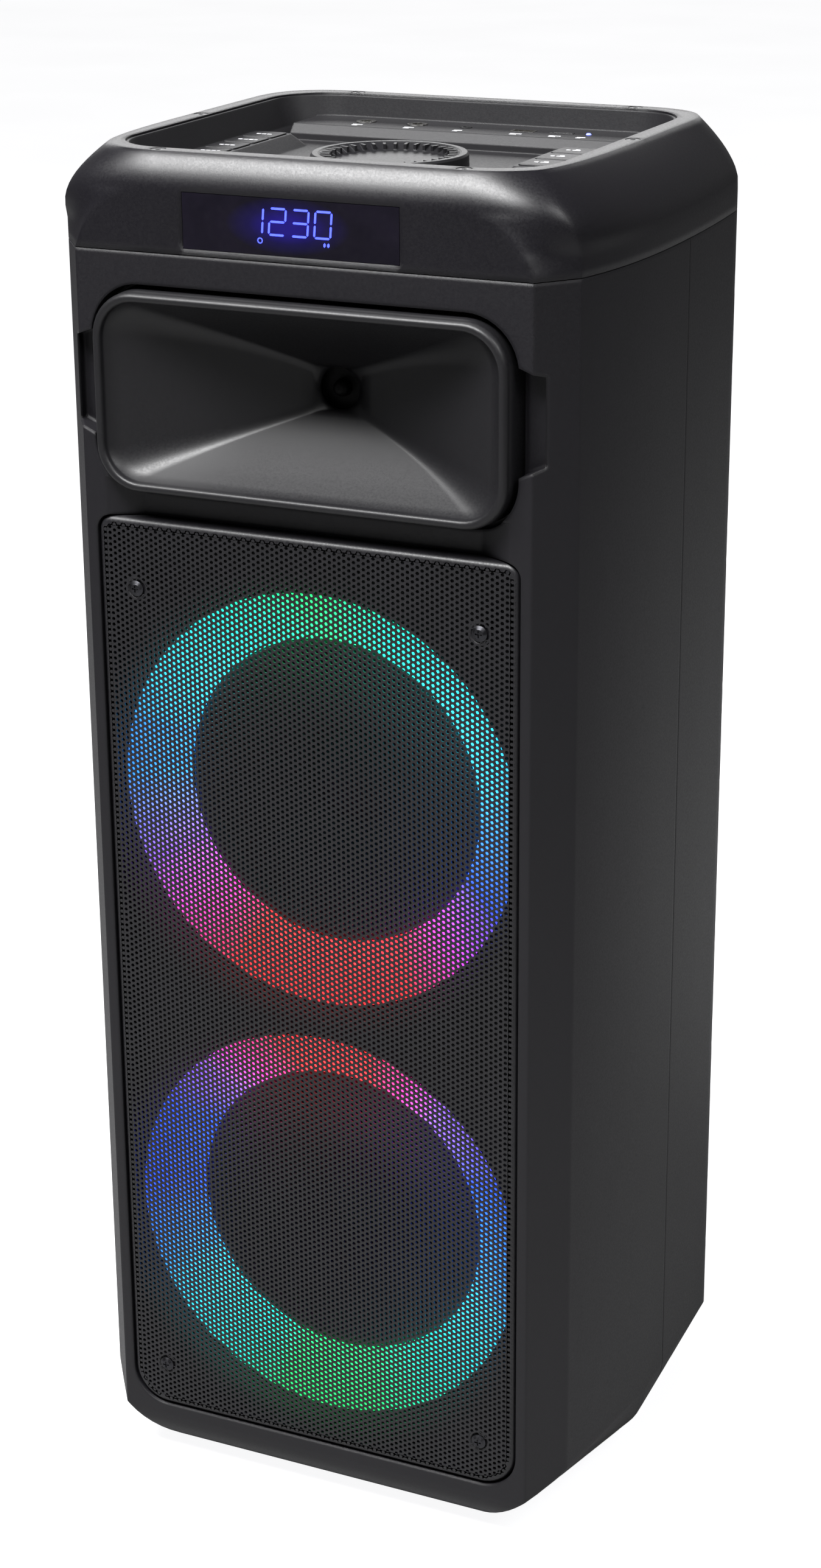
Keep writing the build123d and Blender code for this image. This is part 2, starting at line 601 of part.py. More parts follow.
with BuildPart() as control_panel:
    with BuildSketch(Plane.XY.offset(PANEL_UNDER)):
        rounded_plate(RIM_HALF - RIM_BAND - 0.4, RIM_FRONT + RIM_BAND + 0.4,
                      RIM_REAR - RIM_BAND - 0.4, RIM_CORNER - RIM_BAND - 0.4)
    extrude(amount=PANEL_TOP - PANEL_UNDER)
    with BuildSketch(Plane.XY.offset(FLOOR_Z)):
        rounded_plate(FLOOR_HALF, FLOOR_FRONT, FLOOR_REAR, FLOOR_CORNER)
    with BuildSketch(Plane.XY.offset(FLOOR_Z + 5)):
        rounded_plate(FLOOR_HALF + 5, FLOOR_FRONT - 5, FLOOR_REAR + 1.5, FLOOR_CORNER + 3)
    with BuildSketch(Plane.XY.offset(PANEL_TOP + 0.01)):
        rounded_plate(DISH_HALF, DISH_FRONT, DISH_REAR, DISH_CORNER)
    loft(ruled=True, mode=Mode.SUBTRACT)
    raised_pad(-126, -120, -95, -87, 92, 184)
    raised_pad(64, 69, 96, 101, 121, 193)
    with BuildSketch(Plane.YZ.offset(-108)):
        with BuildLine():
            Polyline([(at_depth(d), z) for d, z in ((206, FLOOR_Z - 1), (206, FLOOR_Z + 4),
                      (211, STRIP_Z), (250, STRIP_Z), (250, FLOOR_Z - 1))], close=True)
        make_face()
    extrude(amount=216)
    # openings for the keys, the knob's shaft, the sockets and the status light
    for label, x, d, size in key_sites():
        with BuildSketch(Plane.XY.offset(PANEL_UNDER - 5)):
            with Locations((x, at_depth(d))):
                RectangleRounded(size[0] + 2 * KEY_GAP, size[1] + 2 * KEY_GAP, 2.3)
        extrude(amount=30, mode=Mode.SUBTRACT)
    with BuildSketch(Plane.XY.offset(PANEL_UNDER - 5)):
        with Locations((0, at_depth(KNOB_DEPTH))):
            Circle(4.8)
        with Locations(*[(x, at_depth(JACK_DEPTH)) for x in BIG_JACKS.values()]):
            Circle(6.1)
        with Locations((AUX_X, at_depth(JACK_DEPTH))):
            Circle(3.6)
        with Locations((USB_X, at_depth(JACK_DEPTH))):
            Rectangle(15.0, 8.0)
        with Locations((CARD_X, at_depth(JACK_DEPTH))):
            Rectangle(14.6, 4.6)
        with Locations((STATUS_X, at_depth(JACK_DEPTH))):
            Circle(1.6)
    extrude(amount=30, mode=Mode.SUBTRACT)
finish(control_panel, "control_panel")

# ---------------------------------------------------------------- knob and keys
with BuildPart() as volume_knob:
    upright([(0, KNOB_TOP - 4.2), (31.5, KNOB_TOP - 4.2), (38.5, KNOB_TOP - 0.6), (39.3, KNOB_TOP),
             (42.2, KNOB_TOP), (KNOB_RADIUS - 0.3, KNOB_TOP - 1.2), (KNOB_RADIUS, FLOOR_Z + 0.8),
             (40, FLOOR_Z + 0.8), (40, KNOB_TOP - 7), (8, KNOB_TOP - 7), (8, FLOOR_Z + 1),
             (3.1, FLOOR_Z + 1), (3.1, KNOB_TOP - 7), (0, KNOB_TOP - 7)], 0, KNOB_DEPTH)
    with BuildSketch(Plane.XY.offset(KNOB_TOP - 4.4)):
        with Locations((0, at_depth(KNOB_DEPTH))):
            with PolarLocations(35.4, 36):
                Rectangle(5.6, 1.6)
    extrude(amount=3.9)
finish(volume_knob, "volume_knob")

with BuildPart() as encoder_shaft:
    upright([(0, 758), (3.0, 758), (3.0, KNOB_TOP - 7.1), (0, KNOB_TOP - 7.1)], 0, KNOB_DEPTH)
finish(encoder_shaft, "encoder_shaft")

with BuildPart() as encoder_body:
    slab(-7, 7, KNOB_DEPTH - 7, KNOB_DEPTH + 7, 757, 763)
    upright([(3.05, 762), (4.5, 762), (4.5, FLOOR_Z - 0.4), (3.05, FLOOR_Z - 0.4)], 0, KNOB_DEPTH)
    with BuildSketch(Plane.XY.offset(757.9)):
        with Locations((0, at_depth(KNOB_DEPTH))):
            Circle(3.05)
    extrude(amount=10, mode=Mode.SUBTRACT)
finish(encoder_body, "encoder_body")

for label, x, d, size in key_sites():
    with BuildPart() as key:
        with BuildSketch(Plane.XY.offset(FLOOR_Z - 1)):
            with Locations((x, at_depth(d))):
                RectangleRounded(size[0], size[1], 2)
        extrude(amount=PAD_Z + 0.8 - FLOOR_Z + 1)
        fillet(key.faces().sort_by(Axis.Z)[-1].edges(), radius=0.5)
        slab(x - 2, x + 2, d - 2, d + 2, 763.6, FLOOR_Z - 1)
    finish(key, label)

with BuildPart() as key_board:
    slab(-118, 98, 92, 200, 758.6, 760.2)
    slab(-12, 12, KNOB_DEPTH - 12, KNOB_DEPTH + 12, 750, 765, mode=Mode.SUBTRACT)
    for label, x, d, size in key_sites():
        slab(x - 3, x + 3, d - 3, d + 3, 760.2, 762.3)
finish(key_board, "key_board")

# ---------------------------------------------------------------- sockets on the panel
for label, x in BIG_JACKS.items():
    with BuildPart() as jack:
        upright([(3.2, 762), (5.9, 762), (5.9, STRIP_Z + 0.6), (3.2, STRIP_Z + 0.6)], x, JACK_DEPTH)
        slab(x - 8, x + 8, JACK_DEPTH - 8, JACK_DEPTH + 8, 744, 762.1)
        with BuildSketch(Plane.XY.offset(748)):
            with Locations((x, at_depth(JACK_DEPTH))):
                Circle(3.2)
        extrude(amount=15, mode=Mode.SUBTRACT)
    finish(jack, label)

with BuildPart() as aux_jack:
    upright([(1.8, 764), (3.4, 764), (3.4, STRIP_Z + 0.4), (1.8, STRIP_Z + 0.4)], AUX_X, JACK_DEPTH)
    slab(AUX_X - 5, AUX_X + 5, JACK_DEPTH - 5, JACK_DEPTH + 5, 756, 764.1)
    with BuildSketch(Plane.XY.offset(760)):
        with Locations((AUX_X, at_depth(JACK_DEPTH))):
            Circle(1.8)
    extrude(amount=6, mode=Mode.SUBTRACT)
finish(aux_jack, "aux_jack")

with BuildPart() as usb_port:
    slab(USB_X - 7.2, USB_X + 7.2, JACK_DEPTH - 3.7, JACK_DEPTH + 3.7, 762, STRIP_Z + 0.2)
    slab(USB_X - 6.3, USB_X + 6.3, JACK_DEPTH - 2.8, JACK_DEPTH + 2.8, 765, STRIP_Z + 1,
         mode=Mode.SUBTRACT)
    slab(USB_X - 5.5, USB_X + 5.5, JACK_DEPTH + 0.2, JACK_DEPTH + 2.0, 764.5, STRIP_Z - 5)
finish(usb_port, "usb_port")

with BuildPart() as card_slot:
    slab(CARD_X - 7, CARD_X + 7, JACK_DEPTH - 2, JACK_DEPTH + 2, 764, STRIP_Z + 0.2)
    slab(CARD_X - 5.8, CARD_X + 5.8, JACK_DEPTH - 0.7, JACK_DEPTH + 0.7, 766, STRIP_Z + 1,
         mode=Mode.SUBTRACT)
finish(card_slot, "card_slot")

with BuildPart() as status_light:
    upright([(0, 774), (1.5, 774), (1.5, STRIP_Z + 0.3), (1.0, STRIP_Z + 0.8), (0, STRIP_Z + 0.8)],
            STATUS_X, JACK_DEPTH)
finish(status_light, "status_light")

# ---------------------------------------------------------------- back of the cabinet
with BuildPart() as rear_panel:
    with BuildSketch(front_plane(PANEL_DEPTH + 0.1)):
        with Locations((0, 151)):
            RectangleRounded(179, 131, 7.5)
    extrude(amount=-1.5)
    with BuildSketch(front_plane(PANEL_DEPTH - 1)):
        with Locations((INLET_X, INLET_Z)):
            Rectangle(28, 20.6)
        with Locations((ROCKER_X, ROCKER_Z)):
            Rectangle(13.4, 19.6)
        with Locations((-55, 95), (-55, 207), (-82, 151), (55, 207), (82, 151), (75, 95)):
            Circle(1.6)
        with Locations((-40, 151)):
            with GridLocations(9, 5, 7, 12):
                SlotOverall(7, 2.2)
    extrude(amount=-4, mode=Mode.SUBTRACT)
finish(rear_panel, "rear_panel")

with BuildPart() as mains_inlet:
    slab(INLET_X - 15.5, INLET_X + 15.5, 268.7, 270.6, INLET_Z - 12, INLET_Z + 12)
    slab(INLET_X - 13.8, INLET_X + 13.8, 250, 268.7, INLET_Z - 10.1, INLET_Z + 10.1)
    slab(INLET_X - 12, INLET_X + 12, 254, 272, INLET_Z - 8, INLET_Z + 8, mode=Mode.SUBTRACT)
    for x, z in ((-7, -1.5), (7, -1.5), (0, 2.5)):
        slab(INLET_X + x - 1, INLET_X + x + 1, 253.5, 265, INLET_Z + z - 2, INLET_Z + z + 2)
finish(mains_inlet, "mains_inlet")

with BuildPart() as rocker_bezel:
    slab(ROCKER_X - 7.5, ROCKER_X + 7.5, 268.7, 269.8, ROCKER_Z - 10.5, ROCKER_Z + 10.5)
    slab(ROCKER_X - 6.5, ROCKER_X + 6.5, 254, 268.7, ROCKER_Z - 9.6, ROCKER_Z + 9.6)
    slab(ROCKER_X - 5.2, ROCKER_X + 5.2, 256, 271, ROCKER_Z - 8.6, ROCKER_Z + 8.6,
         mode=Mode.SUBTRACT)
finish(rocker_bezel, "rocker_bezel")

ROCKER_PIVOT = 265.0
ROCKER_TILT = 9.0

with BuildPart() as power_rocker:
    with BuildSketch(Plane.YZ.offset(ROCKER_X - 4.9)):
        with Locations((at_depth(ROCKER_PIVOT), ROCKER_Z)):
            with Locations(Rotation(0, 0, ROCKER_TILT)):
                Polygon((-5, -3), (-5, 3), (2.0, 7.5), (6.0, 7.5), (4.4, 0), (6.0, -7.5), (2.0, -7.5),
                        align=None)
    extrude(amount=9.8)
finish(power_rocker, "power_rocker")

with BuildPart() as port_tube:
    turned([(PORT_RADIUS, 150), (PORT_RADIUS + 3, 150), (PORT_RADIUS + 3, 269.6),
            (PORT_RADIUS + 12, 269.6), (PORT_RADIUS + 12, 271), (PORT_RADIUS + 9, 272.6),
            (PORT_RADIUS + 7, 272.6), (PORT_RADIUS + 2, 270), (PORT_RADIUS, 264)], PORT_Z)
finish(port_tube, "port_tube")

with BuildPart() as rear_handle:
    with BuildSketch(Plane.YZ.offset(-76.4)):
        with Locations((at_depth(258), HANDLE_Z + 12)):
            RectangleRounded(22, 24, 8)
    extrude(amount=152.8)
finish(rear_handle, "rear_handle")

with BuildPart() as amplifier_board:
    slab(-72, 72, 226, 227.6, 92, 208)
    for x, z in ((-50, 105), (-20, 105), (30, 190), (55, 190), (55, 105)):
        turned([(0, 200), (8, 200), (8, 226), (0, 226)], z, centre_x=x)
    slab(-60, -20, 204, 226, 150, 190)
    slab(0, 25, 212, 226, 100, 125)
finish(amplifier_board, "amplifier_board")

with BuildPart() as amplifier_heatsink:
    slab(-76, -4, 260.5, 266.8, 100, 202)
    for i in range(9):
        z = 103 + 12 * i
        slab(-76, -4, 236, 260.6, z, z + 2.4)
finish(amplifier_heatsink, "amplifier_heatsink")

with BuildPart() as battery_pack:
    slab(-70, 70, 160, 234, FOOT_HEIGHT + WALL, 66)
    fillet(battery_pack.edges().filter_by(Axis.Z), radius=6)
finish(battery_pack, "battery_pack")
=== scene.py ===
import bpy
import json
import math
from mathutils import Matrix, Vector


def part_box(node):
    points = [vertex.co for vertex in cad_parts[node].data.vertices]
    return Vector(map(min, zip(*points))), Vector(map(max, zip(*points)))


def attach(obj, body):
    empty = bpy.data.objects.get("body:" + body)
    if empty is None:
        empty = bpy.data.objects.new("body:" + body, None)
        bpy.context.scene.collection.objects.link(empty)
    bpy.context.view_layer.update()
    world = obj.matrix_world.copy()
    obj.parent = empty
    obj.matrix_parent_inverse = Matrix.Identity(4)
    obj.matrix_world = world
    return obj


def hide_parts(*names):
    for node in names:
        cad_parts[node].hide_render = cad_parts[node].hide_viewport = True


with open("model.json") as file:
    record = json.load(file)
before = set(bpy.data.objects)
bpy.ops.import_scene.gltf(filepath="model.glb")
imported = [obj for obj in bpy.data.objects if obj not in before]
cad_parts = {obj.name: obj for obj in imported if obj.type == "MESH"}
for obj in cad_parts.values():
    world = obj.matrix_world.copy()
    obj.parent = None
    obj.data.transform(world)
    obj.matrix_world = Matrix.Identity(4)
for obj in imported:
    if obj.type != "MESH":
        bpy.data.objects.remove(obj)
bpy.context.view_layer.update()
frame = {"nodes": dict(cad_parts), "record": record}
NODES = frame["nodes"]
MM = 0.001
TAU = 2 * math.pi
BODY = "cabinet"

# ---------------------------------------------------------------- places read from the frame
GRILLE_LOW, GRILLE_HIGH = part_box("grille")
HORN_LOW, HORN_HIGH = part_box("horn_flare")
WINDOW_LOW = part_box("display_window")[0]
FACE_Y = GRILLE_LOW[1]


def middle_of(node):
    low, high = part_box(node)
    return tuple((a + b) / 2 for a, b in zip(low, high))


# ---------------------------------------------------------------- camera, lights, floor
CAMERA_PLACE = (0.6956, -1.4919, 1.0257)
CAMERA_AZIMUTH, CAMERA_ELEVATION, CAMERA_ROLL = 25.03, 19.95, -0.437
CAMERA_LENS = 68.21
CAMERA_SHIFT = (0.0019, -0.0191)


def make_camera():
    az, el, roll = (math.radians(a) for a in (CAMERA_AZIMUTH, CAMERA_ELEVATION, CAMERA_ROLL))
    right = Vector((math.cos(az), math.sin(az), 0))
    up = Vector((-math.sin(az) * math.sin(el), math.cos(az) * math.sin(el), math.cos(el)))
    back = Vector((math.sin(az) * math.cos(el), -math.cos(az) * math.cos(el), math.sin(el)))
    rolled_right = right * math.cos(roll) + up * math.sin(roll)
    rolled_up = up * math.cos(roll) - right * math.sin(roll)
    turn = Matrix((rolled_right, rolled_up, back)).transposed().to_4x4()
    camera = bpy.data.objects.new("camera", bpy.data.cameras.new("camera"))
    camera.matrix_world = Matrix.Translation(CAMERA_PLACE) @ turn
    camera.data.lens = CAMERA_LENS
    camera.data.sensor_width = 36
    camera.data.shift_x, camera.data.shift_y = CAMERA_SHIFT
    camera.data.clip_end = 100
    bpy.context.scene.collection.objects.link(camera)
    bpy.context.scene.camera = camera


def area_light(name, place, target, size, power, colour=(1, 1, 1)):
    light = bpy.data.lights.new(name, "AREA")
    light.shape = "RECTANGLE"
    light.size, light.size_y = size
    light.energy = power
    light.color = colour
    lamp = bpy.data.objects.new(name, light)
    lamp.location = place
    lamp.rotation_euler = (Vector(target) - Vector(place)).to_track_quat("-Z", "Y").to_euler()
    bpy.context.scene.collection.objects.link(lamp)


def make_stage():
    world = bpy.data.worlds.new("studio")
    world.use_nodes = True
    world.node_tree.nodes["Background"].inputs["Color"].default_value = (1, 1, 1, 1)
    # a pale backdrop for the lens, and a dim room for everything the gloss reflects
    seen = world.node_tree.nodes.new("ShaderNodeLightPath").outputs["Is Camera Ray"]
    level = world.node_tree.nodes.new("ShaderNodeMapRange")
    level.inputs["To Min"].default_value = 0.14
    level.inputs["To Max"].default_value = 0.95
    world.node_tree.links.new(seen, level.inputs["Value"])
    world.node_tree.links.new(level.outputs["Result"],
                              world.node_tree.nodes["Background"].inputs["Strength"])
    bpy.context.scene.world = world
    bpy.context.scene.view_settings.view_transform = "Standard"
    area_light("key_box", (-0.45, -1.15, 2.6), (0, 0, 0.7), (1.9, 0.8), 200)
    area_light("right_box", (1.9, -0.6, 2.3), (0, 0, 0.7), (0.9, 0.9), 26)
    area_light("back_box", (-1.2, 2.6, 1.75), (0, 0, 0.7), (2.4, 1.0), 26)
    mesh = bpy.data.meshes.new("floor")
    reach = 30
    mesh.from_pydata([(-reach, -reach, 0), (reach, -reach, 0), (reach, reach, 0), (-reach, reach, 0)],
                     [], [(0, 1, 2, 3)])
    floor = bpy.data.objects.new("floor", mesh)
    bpy.context.scene.collection.objects.link(floor)
    mesh.materials.append(floor_material())


# ---------------------------------------------------------------- materials
class Shader:
    """Small helper that builds one node material."""

    def __init__(self, name, **surface):
        self.material = bpy.data.materials.new(name)
        self.material.use_nodes = True
        self.tree = self.material.node_tree
        self.bsdf = self.tree.nodes["Principled BSDF"]
        for socket, value in surface.items():
            self.bsdf.inputs[socket.replace("_", " ")].default_value = value
        self.coords = self.tree.nodes.new("ShaderNodeTexCoord").outputs["Object"]

    def node(self, kind, **settings):
        made = self.tree.nodes.new(kind)
        for name, value in settings.items():
            setattr(made, name, value)
        return made

    def link(self, source, target):
        self.tree.links.new(source, target)

    def noise(self, size, detail=2.0, stretch=(1, 1, 1)):
        """Noise whose features are about size metres across."""
        mapping = self.node("ShaderNodeMapping")
        mapping.inputs["Scale"].default_value = stretch
        self.link(self.coords, mapping.inputs["Vector"])
        noise = self.node("ShaderNodeTexNoise")
        noise.inputs["Scale"].default_value = 1 / size
        noise.inputs["Detail"].default_value = detail
        self.link(mapping.outputs["Vector"], noise.inputs["Vector"])
        return noise.outputs["Fac"]

    def spread(self, source, low, high, start=0.3, end=0.7):
        """Map a noise value onto a range."""
        remap = self.node("ShaderNodeMapRange")
        for socket, value in (("From Min", start), ("From Max", end), ("To Min", low), ("To Max", high)):
            remap.inputs[socket].default_value = value
        self.link(source, remap.inputs["Value"])
        return remap.outputs["Result"]

    def tint(self, source, stops):
        """Colour ramp over a value; stops are (position, colour)."""
        ramp = self.node("ShaderNodeValToRGB")
        items = ramp.color_ramp.elements
        while len(items) < len(stops):
            items.new(0.5)
        for item, (position, colour) in zip(items, stops):
            item.position = position
            item.color = (*colour, 1)
        self.link(source, ramp.inputs["Fac"])
        return ramp.outputs["Color"]

    def bump(self, height, distance, strength=1.0, rounding=0.0):
        """Bump from a height value, on top of softened edges if rounding is given."""
        bump = self.node("ShaderNodeBump")
        bump.inputs["Distance"].default_value = distance
        bump.inputs["Strength"].default_value = strength
        self.link(height, bump.inputs["Height"])
        if rounding:
            bevel = self.node("ShaderNodeBevel", samples=4)
            bevel.inputs["Radius"].default_value = rounding
            self.link(bevel.outputs["Normal"], bump.inputs["Normal"])
        self.link(bump.outputs["Normal"], self.bsdf.inputs["Normal"])

    def colour(self, source):
        self.link(source, self.bsdf.inputs["Base Color"])

    def rough(self, source):
        self.link(source, self.bsdf.inputs["Roughness"])


def shade(colour, factor):
    return tuple(c * factor for c in colour)


def moulded(name, colour, roughness, grain=0.0007, depth=0.00006, rounding=0.0012, specular=0.4):
    """Moulded plastic with a spark-eroded grain, faint clouding and softened edges."""
    s = Shader(name, Specular_IOR_Level=specular)
    cloud = s.noise(0.05, 3)
    s.colour(s.tint(cloud, [(0.3, shade(colour, 0.93)), (0.7, shade(colour, 1.08))]))
    fine = s.noise(grain, 2)
    s.rough(s.spread(s.noise(0.0012, 3), roughness - 0.04, roughness + 0.05))
    s.bump(fine, depth, 0.6, rounding)
    return s.material


def metal(name, colour, roughness, streak=(1, 1, 1), size=0.002):
    """Bare or plated metal with fine directional marks."""
    s = Shader(name, Metallic=1.0)
    marks = s.noise(size, 3, streak)
    s.colour(s.tint(marks, [(0.3, shade(colour, 0.8)), (0.7, shade(colour, 1.1))]))
    s.rough(s.spread(marks, roughness - 0.07, roughness + 0.1))
    s.bump(marks, 0.00003, 0.4)
    return s.material


def powder(name, colour, roughness=0.45):
    """Powder-coated steel: orange-peel bump and small colour shifts."""
    s = Shader(name, Specular_IOR_Level=0.5)
    peel = s.noise(0.0012, 2)
    s.colour(s.tint(s.noise(0.03, 2), [(0.3, shade(colour, 0.85)), (0.7, shade(colour, 1.15))]))
    s.rough(s.spread(peel, roughness - 0.08, roughness + 0.08))
    s.bump(peel, 0.00004, 0.5)
    return s.material


def woven(name, colour, thread=0.0009):
    """Treated cloth: crossing threads."""
    s = Shader(name, Roughness=0.85, Specular_IOR_Level=0.2)
    wave_a = s.node("ShaderNodeTexWave", bands_direction="X")
    wave_b = s.node("ShaderNodeTexWave", bands_direction="Z")
    for wave in (wave_a, wave_b):
        wave.inputs["Scale"].default_value = 0.3 / thread
        s.link(s.coords, wave.inputs["Vector"])
    cross = s.node("ShaderNodeMath", operation="MAXIMUM")
    s.link(wave_a.outputs["Fac"], cross.inputs[0])
    s.link(wave_b.outputs["Fac"], cross.inputs[1])
    s.colour(s.tint(cross.outputs[0], [(0.2, shade(colour, 0.6)), (0.9, colour)]))
    s.bump(cross.outputs[0], 0.0002, 0.6)
    return s.material


def paper(name, colour):
    """Pressed pulp: soft fibres in the surface."""
    s = Shader(name, Roughness=0.8, Specular_IOR_Level=0.25)
    fibre = s.noise(0.0015, 6, (1, 1, 3))
    s.colour(s.tint(fibre, [(0.3, shade(colour, 0.7)), (0.7, shade(colour, 1.4))]))
    s.bump(fibre, 0.0002, 0.5)
    return s.material


def board(name):
    """Circuit board: solder mask with a pattern of copper tracks."""
    s = Shader(name, Roughness=0.35)
    brick = s.node("ShaderNodeTexBrick")
    brick.inputs["Scale"].default_value = 160
    brick.inputs["Mortar Size"].default_value = 0.03
    brick.inputs["Color1"].default_value = (0.01, 0.06, 0.03, 1)
    brick.inputs["Color2"].default_value = (0.012, 0.075, 0.035, 1)
    brick.inputs["Mortar"].default_value = (0.05, 0.16, 0.06, 1)
    s.link(s.coords, brick.inputs["Vector"])
    s.colour(brick.outputs["Color"])
    s.bump(brick.outputs["Fac"], 0.00005, 0.4)
    return s.material


def floor_material():
    s = Shader("pale_floor", Roughness=0.8, Specular_IOR_Level=0.0)
    pale = s.tint(s.noise(0.4, 2), [(0.3, (0.312, 0.312, 0.315)), (0.7, (0.318, 0.318, 0.321))])
    s.colour(pale)
    # the paper glows for the lens only, so it stays pale without lighting the black cabinet
    s.link(pale, s.bsdf.inputs["Emission Color"])
    seen = s.node("ShaderNodeLightPath").outputs["Is Camera Ray"]
    s.link(s.spread(seen, 0.0, 2.9, 0.0, 1.0), s.bsdf.inputs["Emission Strength"])
    return s.material


def smoked_window(name, glow_centre, glow_reach, glow_colour):
    """Dark gloss acrylic, with the haze of the lit digits round the middle of the display."""
    s = Shader(name, Roughness=0.12, Specular_IOR_Level=0.35)
    s.colour(s.tint(s.noise(0.02, 3), [(0.3, (0.004, 0.0035, 0.006)), (0.7, (0.006, 0.005, 0.009))]))
    s.rough(s.spread(s.noise(0.004, 4), 0.08, 0.2))
    shift = s.node("ShaderNodeVectorMath", operation="SUBTRACT")
    shift.inputs[1].default_value = glow_centre
    s.link(s.coords, shift.inputs[0])
    scale = s.node("ShaderNodeVectorMath", operation="DIVIDE")
    scale.inputs[1].default_value = glow_reach
    s.link(shift.outputs[0], scale.inputs[0])
    length = s.node("ShaderNodeVectorMath", operation="LENGTH")
    s.link(scale.outputs[0], length.inputs[0])
    glow = s.spread(length.outputs["Value"], 1.0, 0.0, 0.25, 1.0)
    s.link(s.tint(glow, [(0.0, (0, 0, 0)), (0.5, shade(glow_colour, 0.25)), (1.0, glow_colour)]),
           s.bsdf.inputs["Emission Color"])
    s.bsdf.inputs["Emission Strength"].default_value = 1.0
    return s.material


def glowing(name, colour, strength):
    """A lit piece with a slightly uneven face."""
    s = Shader(name, Roughness=0.4, Emission_Strength=strength)
    uneven = s.tint(s.noise(0.003, 2), [(0.3, shade(colour, 0.85)), (0.7, colour)])
    s.colour(uneven)
    s.link(uneven, s.bsdf.inputs["Emission Color"])
    return s.material


def light_ring(name, centre_z, stops, strength):
    """Translucent ring whose colour runs round it; stops are (degrees from +X, colour)."""
    s = Shader(name, Roughness=0.5, Emission_Strength=strength)
    split = s.node("ShaderNodeSeparateXYZ")
    s.link(s.coords, split.inputs[0])
    height = s.node("ShaderNodeMath", operation="SUBTRACT")
    height.inputs[1].default_value = centre_z
    s.link(split.outputs["Z"], height.inputs[0])
    angle = s.node("ShaderNodeMath", operation="ARCTAN2")
    s.link(height.outputs[0], angle.inputs[0])
    s.link(split.outputs["X"], angle.inputs[1])
    turn = s.spread(angle.outputs[0], 0.0, 1.0, -math.pi, math.pi)
    ramp = [((degrees + 180) / 360, colour) for degrees, colour in stops]
    colour = s.tint(turn, ramp)
    # the lamps behind show as faint lobes, and the ring fades towards its outer edge
    radius_x = s.node("ShaderNodeCombineXYZ")
    s.link(split.outputs["X"], radius_x.inputs[0])
    s.link(height.outputs[0], radius_x.inputs[1])
    radius = s.node("ShaderNodeVectorMath", operation="LENGTH")
    s.link(radius_x.outputs[0], radius.inputs[0])
    fade = s.spread(radius.outputs["Value"], 1.0, 0.55, 0.1, 0.121)
    lobes = s.node("ShaderNodeMath", operation="MULTIPLY")
    lobes.inputs[1].default_value = 36
    s.link(angle.outputs[0], lobes.inputs[0])
    wave = s.node("ShaderNodeMath", operation="COSINE")
    s.link(lobes.outputs[0], wave.inputs[0])
    lamp = s.spread(wave.outputs[0], 0.86, 1.0, -1.0, 1.0)
    level = s.node("ShaderNodeMath", operation="MULTIPLY")
    s.link(fade, level.inputs[0])
    s.link(lamp, level.inputs[1])
    mixed = s.node("ShaderNodeVectorMath", operation="SCALE")
    s.link(colour, mixed.inputs[0])
    s.link(level.outputs[0], mixed.inputs["Scale"])
    s.link(mixed.outputs[0], s.bsdf.inputs["Emission Color"])
    s.colour(s.tint(s.noise(0.004, 2), [(0.3, (0.25, 0.25, 0.27)), (0.7, (0.3, 0.3, 0.32))]))
    return s.material


def srgb(red, green, blue):
    return tuple((v / 255) ** 2.2 for v in (red, green, blue))


GREEN, TEAL, CYAN = srgb(40, 255, 120), srgb(30, 240, 190), srgb(50, 225, 255)
AZURE, BLUE, VIOLET = srgb(50, 140, 255), srgb(40, 80, 255), srgb(140, 90, 255)
PINK, RED, PURPLE = srgb(255, 60, 170), srgb(255, 50, 50), srgb(180, 70, 255)
UPPER_STOPS = [(-180, AZURE), (-155, VIOLET), (-134, PINK), (-118, RED), (-62, RED), (-50, PINK),
               (-40, PURPLE), (-25, BLUE), (0, AZURE), (33, CYAN), (67, TEAL), (90, GREEN),
               (115, TEAL), (140, CYAN), (165, AZURE), (180, AZURE)]
LOWER_STOPS = [(-180, BLUE), (-158, AZURE), (-140, CYAN), (-117, TEAL), (-104, GREEN), (-76, GREEN),
               (-50, TEAL), (-30, CYAN), (-13, AZURE), (23, BLUE), (51, VIOLET), (62, PINK),
               (76, RED), (104, RED), (120, PINK), (131, VIOLET), (150, BLUE), (180, BLUE)]
DIGIT_BLUE = srgb(72, 84, 255)

make_camera()
make_stage()

